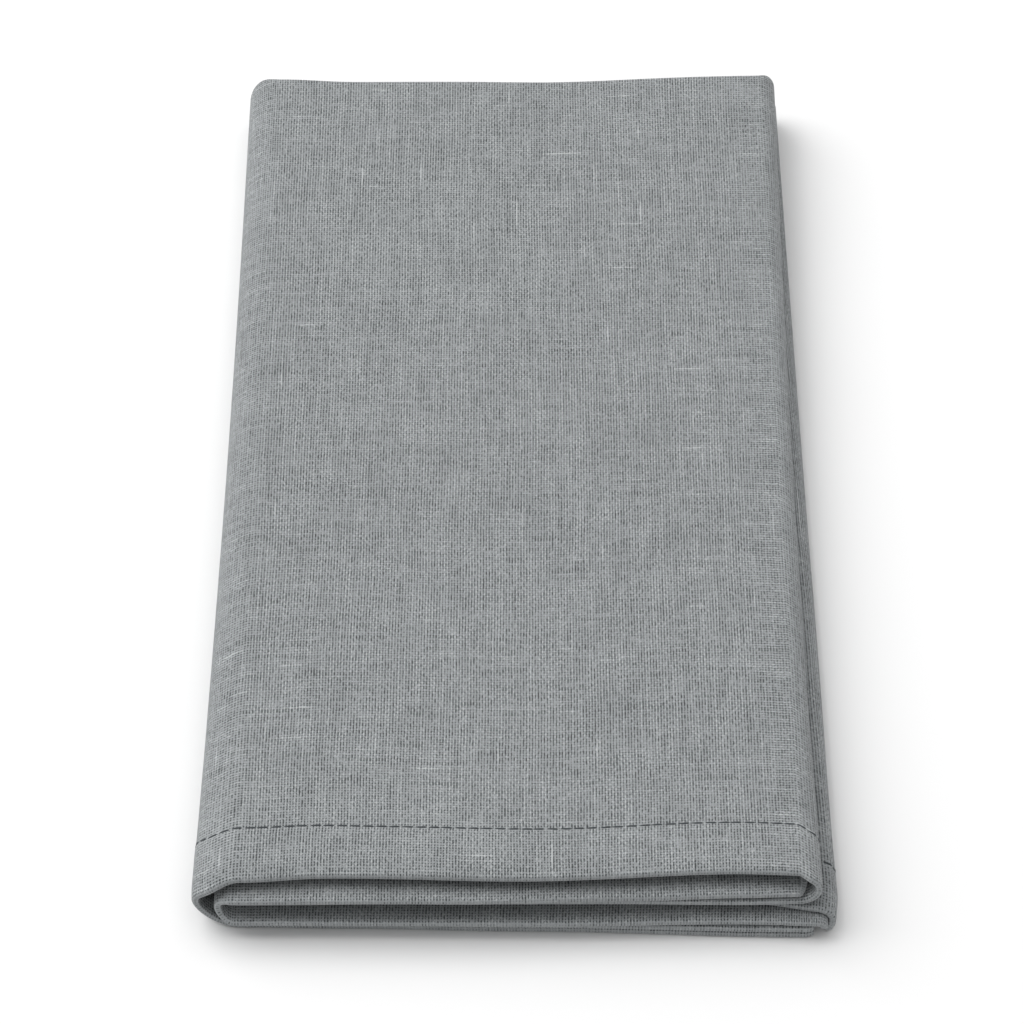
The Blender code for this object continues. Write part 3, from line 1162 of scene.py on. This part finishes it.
@dataclass(frozen=True)
class LinenFinish:
    """Cool grey plain-woven linen: uneven threads, with painted shade in the small holes where they cross and painted
    highlights on the threads' tops.

    Round the lengthwise folds the threads that bend stand out, and the ones along the fold sink between them.
    """

    square: float
    fold_places: tuple[float, ...]
    fold_reach: tuple[float, float] = (6.0, 14.0)
    fold_share: float = 0.18
    warp_pitch: float = 0.54
    weft_pitch: float = 0.63
    crossing: float = 0.13
    crossing_patches: Patches = Patches(0.16, 2.0, 4.0)
    weft_share: float = 0.75
    warp_unevenness: float = 0.6
    weft_unevenness: float = 0.9
    warp_tone: float = 0.16
    weft_tone: float = 0.14
    warp_noise: ThreadNoise = ThreadNoise(3.71, 0.08, 3.71, 2.0, 1.0)
    weft_noise: ThreadNoise = ThreadNoise(8.13, 0.08, 8.13, 2.0, 1.0)
    weft_shift: ThreadNoise = ThreadNoise(5.37, 0.16, 5.37, 2.0, 0.55)
    weft_wander_place: float = 40.0
    wander_patches: tuple[Patches, Patches] = (Patches(0.03, 1.0, 0.6), Patches(0.30, 2.0, 0.14))
    relief_patches: Patches = Patches(0.33, 2.0, 1.1)
    cloud_patches: Patches = Patches(0.09, 3.0, 0.10)
    fibre_patches: tuple[Patches, Patches] = (Patches(2.6, 0.0, 0.42), Patches(4.4, 0.0, 0.42))
    fibre_height: float = 0.3
    # Painted light: dark painted shade for the holes, the threads' own grey, and a painted highlight for their tops.
    painted_hole_shade: tuple[float, float, float] = (0.040, 0.045, 0.047)
    thread: tuple[float, float, float] = (0.274, 0.289, 0.295)
    painted_thread_highlight: tuple[float, float, float] = (0.45, 0.467, 0.474)
    gap_noise: ThreadNoise = ThreadNoise(4.37, 1.25, 2.9, 0.0, 1.35)
    slub_noise: ThreadNoise = ThreadNoise(9.31, 0.08, 1.7, 0.0, 1.0)
    slub_range: tuple[float, float] = (0.27, 0.40)
    slub_share: float = 0.45
    # The hem edges, drawn smooth and lighter: a painted highlight along each folded rim.
    edge_width: float = 0.8
    edge_full_width: float = 0.24
    edge_share: float = 0.38
    edge_height_and_highlight: float = 0.95
    mean_height: float = 0.85
    stops: tuple[float, float, float] = (0.18, 0.62, 1.0)
    shade_scale: float = 0.72
    roughness: float = 0.88
    sheen: float = 0.12
    sheen_roughness: float = 0.6
    specular: float = 0.25
    bump: float = 0.55
    bump_height: float = 0.12

    def build(self) -> bpy.types.Material:
        """The finish as a material that reads the cloth's own map.

        Returns:
            The material. Each thread's profile is a cosine of its own place between its neighbours, raised
            where it passes over and lowered where it passes under, and the higher of the two is what shows.
        """
        material, shader = new_material("linen")
        weave = Weave(material.node_tree)
        across, along = weave.map_places("cloth", self.square)
        place = weave.vector(across, along)
        warp = (across + self.wander(weave, place, 0.0)) * (1.0 / self.warp_pitch)
        warp_number = warp.floor()
        weft = (along + self.wander(weave, place, self.weft_wander_place)) * (1.0 / self.weft_pitch)
        weft = weft + weave.along_threads(warp_number, along, self.weft_shift)
        weft_number = weft.floor()
        warp_round = ((warp - warp_number - 0.5) * math.pi).math("COSINE")
        weft_round = ((weft - weft_number - 0.5) * math.pi).math("COSINE")
        over = ((warp_number + weft_number).math("FLOORED_MODULO", 2.0) * 2.0).flipped(1.0)
        warp_body = weave.along_threads(warp_number, along, self.warp_noise)
        weft_body = weave.along_threads(weft_number, across, self.weft_noise)
        crossing = over * (weave.noise(place, self.crossing_patches) + 1.0) * self.crossing
        bent = self.bent(across)
        warp_top = warp_round * (warp_body * self.warp_unevenness + 1.0 - bent) + crossing * weft_round
        weft_full = weft_round * (weft_body * self.weft_unevenness + 1.0)
        weft_top = weft_full * (bent + self.weft_share) - crossing * warp_round
        relief = weave.noise(place, self.relief_patches) + 1.0
        height = (warp_top.math("MAXIMUM", weft_top) - self.mean_height) * relief + self.mean_height
        tone = warp_body * self.warp_tone + weft_body * self.weft_tone + weave.noise(place, self.cloud_patches)
        fibres = weave.noise(place, self.fibre_patches[0]) + weave.noise(place, self.fibre_patches[1])
        gaps = weave.along_threads((warp + 0.5).floor(), along, self.gap_noise) * warp_round.flipped(1.0)
        slubs = self.slub(weave, warp_number, along) * warp_round + self.slub(weave, weft_number, across) * weft_round
        # The colour follows this value: painted shade in the low holes, painted highlights on the high thread tops,
        # plus the threads' random tones.
        shade = height + tone + fibres + gaps + slubs
        edge = self.edge(across, along)
        # Painted highlight: near a hem edge the colour is pushed up to a light even tone, and the relief is evened
        # out.
        shade = shade + shade.flipped(self.edge_height_and_highlight) * edge
        height = height + height.flipped(self.edge_height_and_highlight) * edge
        self.link_colour(material.node_tree, shader, shade)
        self.link_bump(material.node_tree, shader, height + fibres * self.fibre_height)
        shader.inputs["Roughness"].default_value = self.roughness
        shader.inputs["Sheen Weight"].default_value = self.sheen
        shader.inputs["Sheen Roughness"].default_value = self.sheen_roughness
        shader.inputs["Specular IOR Level"].default_value = self.specular
        return material

    def wander(self, weave: Weave, place: Wire, shift: float) -> Wire:
        """How far the threads stray from straight lines, in millimetres, over long and short distances."""
        moved = weave.vector(place.part(0) + shift, place.part(1) + shift)
        return weave.noise(moved, self.wander_patches[0]) + weave.noise(moved, self.wander_patches[1])

    def slub(self, weave: Weave, number: Wire, along: Wire) -> Wire:
        """The light slubs, here and there along a thread where its yarn is thick."""
        return weave.along_threads(number, along, self.slub_noise).between(*self.slub_range, 0.0, self.slub_share)

    def bent(self, across: Wire) -> Wire:
        """How much the bent threads stand out: in full on each lengthwise fold, and none on the flat panels.

        Args:
            across: The place across the cloth.

        Returns:
            The share, falling along a cubic with the distance from the nearest fold.
        """
        distances = [(across - place).math("ABSOLUTE") for place in self.fold_places]
        nearest = distances[0].math("MINIMUM", distances[1]).math("MINIMUM", distances[2])
        return nearest.between(*self.fold_reach, self.fold_share, 0.0)

    def edge(self, across: Wire, along: Wire) -> Wire:
        """The share of a hem's folded edge, where the weave is drawn smooth and painted lighter, a painted highlight
        along the rim: full on the edge itself, and none a little way in.

        Args:
            across: The place across the cloth.
            along: The place along it.

        Returns:
            The share, falling along a cubic with the distance from the nearest edge.
        """
        sides = [place.math("MINIMUM", place.flipped(self.square)) for place in (across, along)]
        nearest = sides[0].math("MINIMUM", sides[1])
        return nearest.between(self.edge_full_width, self.edge_width, self.edge_share, 0.0)

    def link_colour(self, tree: bpy.types.NodeTree, shader: bpy.types.Node, shade: Wire) -> None:
        """Paints the holes dark and the threads' tops light by how high they stand: painted shade in the holes and
        painted highlights on the tops.

        Args:
            tree: The material's node tree.
            shader: Its shader node.
            shade: How high the cloth stands, with its tones; the low places take the painted shade and the high ones
                the painted highlight.
        """
        ramp = tree.nodes.new("ShaderNodeValToRGB")
        ramp.color_ramp.interpolation = "EASE"
        ramp.color_ramp.elements.new(self.stops[1])
        colours = (self.painted_hole_shade, self.thread, self.painted_thread_highlight)
        for element, position, colour in zip(ramp.color_ramp.elements, self.stops, colours):
            element.position = position
            element.color = (*colour, 1.0)
        tree.links.new((shade * self.shade_scale).socket, ramp.inputs["Fac"])
        tree.links.new(ramp.outputs["Color"], shader.inputs["Base Color"])

    def link_bump(self, tree: bpy.types.NodeTree, shader: bpy.types.Node, height: Wire) -> None:
        """Rounds the threads under the light.

        Args:
            tree: The material's node tree.
            shader: Its shader node.
            height: How high the cloth stands.
        """
        bump = tree.nodes.new("ShaderNodeBump")
        bump.inputs["Strength"].default_value = self.bump
        bump.inputs["Distance"].default_value = self.bump_height * MM
        tree.links.new(height.socket, bump.inputs["Height"])
        tree.links.new(bump.outputs["Normal"], shader.inputs["Normal"])


def new_material(name: str) -> tuple[bpy.types.Material, bpy.types.Node]:
    """A new material and its shader.

    Args:
        name: The material's name.

    Returns:
        The material, and its shader node.
    """
    material = bpy.data.materials.new(name)
    material.use_nodes = True
    return material, material.node_tree.nodes["Principled BSDF"]


@dataclass(frozen=True)
class ThreadFinish:
    """Dark grey sewing thread, twisted from two strands, and painted darker still for the shade of the groove that it
    lies in.
    """

    # Partly the thread's own dark grey, partly painted shade for the groove that the stitches sink into.
    colour: tuple[float, float, float] = (0.045, 0.052, 0.057)
    shades: tuple[float, float] = (0.6, 1.5)
    strands_per_metre: float = 2500.0
    roughness: float = 0.8

    def build(self) -> bpy.types.Material:
        """The finish as a material that reads Object coordinates.

        Returns:
            The material, between a darker and a lighter shade of its colour.
        """
        material, shader = new_material("sewing_thread_and_groove_shade")
        tree = material.node_tree
        source = tree.nodes.new("ShaderNodeTexCoord")
        noise = tree.nodes.new("ShaderNodeTexNoise")
        noise.inputs["Scale"].default_value = self.strands_per_metre
        tree.links.new(source.outputs["Object"], noise.inputs["Vector"])
        ramp = tree.nodes.new("ShaderNodeValToRGB")
        for element, share in zip(ramp.color_ramp.elements, self.shades):
            element.color = (*(share * part for part in self.colour), 1.0)
        tree.links.new(noise.outputs["Fac"], ramp.inputs["Fac"])
        tree.links.new(ramp.outputs["Color"], shader.inputs["Base Color"])
        shader.inputs["Roughness"].default_value = self.roughness
        return material


@dataclass(frozen=True)
class FloorFinish:
    """A plain white surface."""

    colour: tuple[float, float, float] = (0.88, 0.88, 0.88)
    roughness: float = 0.9

    def build(self) -> bpy.types.Material:
        """The finish as a material.

        Returns:
            The material.
        """
        material, shader = new_material("studio_floor")
        shader.inputs["Base Color"].default_value = (*self.colour, 1.0)
        shader.inputs["Roughness"].default_value = self.roughness
        shader.inputs["Specular IOR Level"].default_value = 0.0
        return material


@dataclass(frozen=True)
class SoftLight:
    """One square studio light: where it stands, in metres, its width and its power in watts."""

    name: str
    place: tuple[float, float, float]
    width: float
    power: float

    def build(self) -> bpy.types.Object:
        """The light, turned to the middle of the scene.

        Returns:
            The light's object.
        """
        lamp = bpy.data.lights.new(self.name, "AREA")
        lamp.size = self.width
        lamp.energy = self.power
        light = bpy.data.objects.new(self.name, lamp)
        light.location = self.place
        light.rotation_euler = (-Vector(self.place)).to_track_quat("-Z", "Y").to_euler()
        bpy.context.scene.collection.objects.link(light)
        return light


@dataclass(frozen=True)
class Studio:
    """The floor, the lights and the camera at the photograph's viewing angle."""

    floor_width: float = 20.0
    floor_drop: float = 0.00005
    surround: float = 0.55
    lights: tuple[SoftLight, ...] = (
        SoftLight("key_light", (-1.45, 0.7, 1.66), 2.1, 42.5),
        SoftLight("top_light", (0.0, 0.4, 1.9), 2.2, 10.5),
    )
    aim: tuple[float, float, float] = (-0.0009, -0.0055, 0.0005)
    distance: float = 0.856
    elevation: float = 45.0
    yaw: float = -0.07
    lens: float = 152.93
    sensor: float = 36.0

    def build_floor(self) -> bpy.types.Object:
        """A wide square just under the napkin.

        Returns:
            The floor's object.
        """
        half = self.floor_width / 2.0 / MM
        corners = np.array([(-half, -half), (half, -half), (half, half), (-half, half)])
        points = np.column_stack([corners, np.full(len(corners), -self.floor_drop / MM)])
        floor = mesh_piece("studio_floor", points, [[0, 1, 2, 3]])
        floor.data.materials.append(FloorFinish().build())
        return floor

    def build_surround(self) -> None:
        """An even white surround."""
        world = bpy.data.worlds.new("studio")
        world.use_nodes = True
        background = world.node_tree.nodes["Background"]
        background.inputs["Color"].default_value = (1.0, 1.0, 1.0, 1.0)
        background.inputs["Strength"].default_value = self.surround
        bpy.context.scene.world = world

    def build_camera(self) -> bpy.types.Object:
        """The camera, its line of sight set by an elevation and a yaw about the point that it aims at.

        Returns:
            The camera's object, which is also the scene's camera.
        """
        elevation, yaw = math.radians(self.elevation), math.radians(self.yaw)
        forward = Vector((
            math.sin(yaw) * math.cos(elevation),
            math.cos(yaw) * math.cos(elevation),
            -math.sin(elevation),
        ))
        lens = bpy.data.cameras.new("studio_camera")
        lens.lens = self.lens
        lens.sensor_width = self.sensor
        lens.clip_start = 0.01
        camera = bpy.data.objects.new("studio_camera", lens)
        camera.location = Vector(self.aim) - forward * self.distance
        camera.rotation_euler = forward.to_track_quat("-Z", "Y").to_euler()
        bpy.context.scene.collection.objects.link(camera)
        bpy.context.scene.camera = camera
        return camera

    def build(self) -> None:
        """Everything round the napkin."""
        self.build_floor()
        self.build_surround()
        for light in self.lights:
            light.build()
        self.build_camera()
        bpy.context.scene.view_settings.view_transform = "Standard"


def dress(piece: bpy.types.Object, material: bpy.types.Material) -> None:
    """Gives a piece its finish, and sets it on the solid that it stands for.

    Args:
        piece: The finished mesh object.
        material: Its material.
    """
    piece.data.materials.append(material)
    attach(piece, BODY)
    LOG.info("%s: %d faces", piece.name, len(piece.data.polygons))


def main() -> None:
    """Builds the napkin's pieces in order, then the studio round them."""
    logging.basicConfig(level=logging.INFO, format="%(name)s: %(message)s")
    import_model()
    cloth = NapkinCloth()
    sheet = cloth.build()
    stitches = HemStitching(cloth).build()
    dress(sheet, LinenFinish(cloth.fold.square, cloth.fold_places()).build())
    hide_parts(CAD_NODE)
    dress(stitches, ThreadFinish().build())
    side = cloth.fold.square * MM
    Studio().build()


if __name__ == "__main__":
    main()
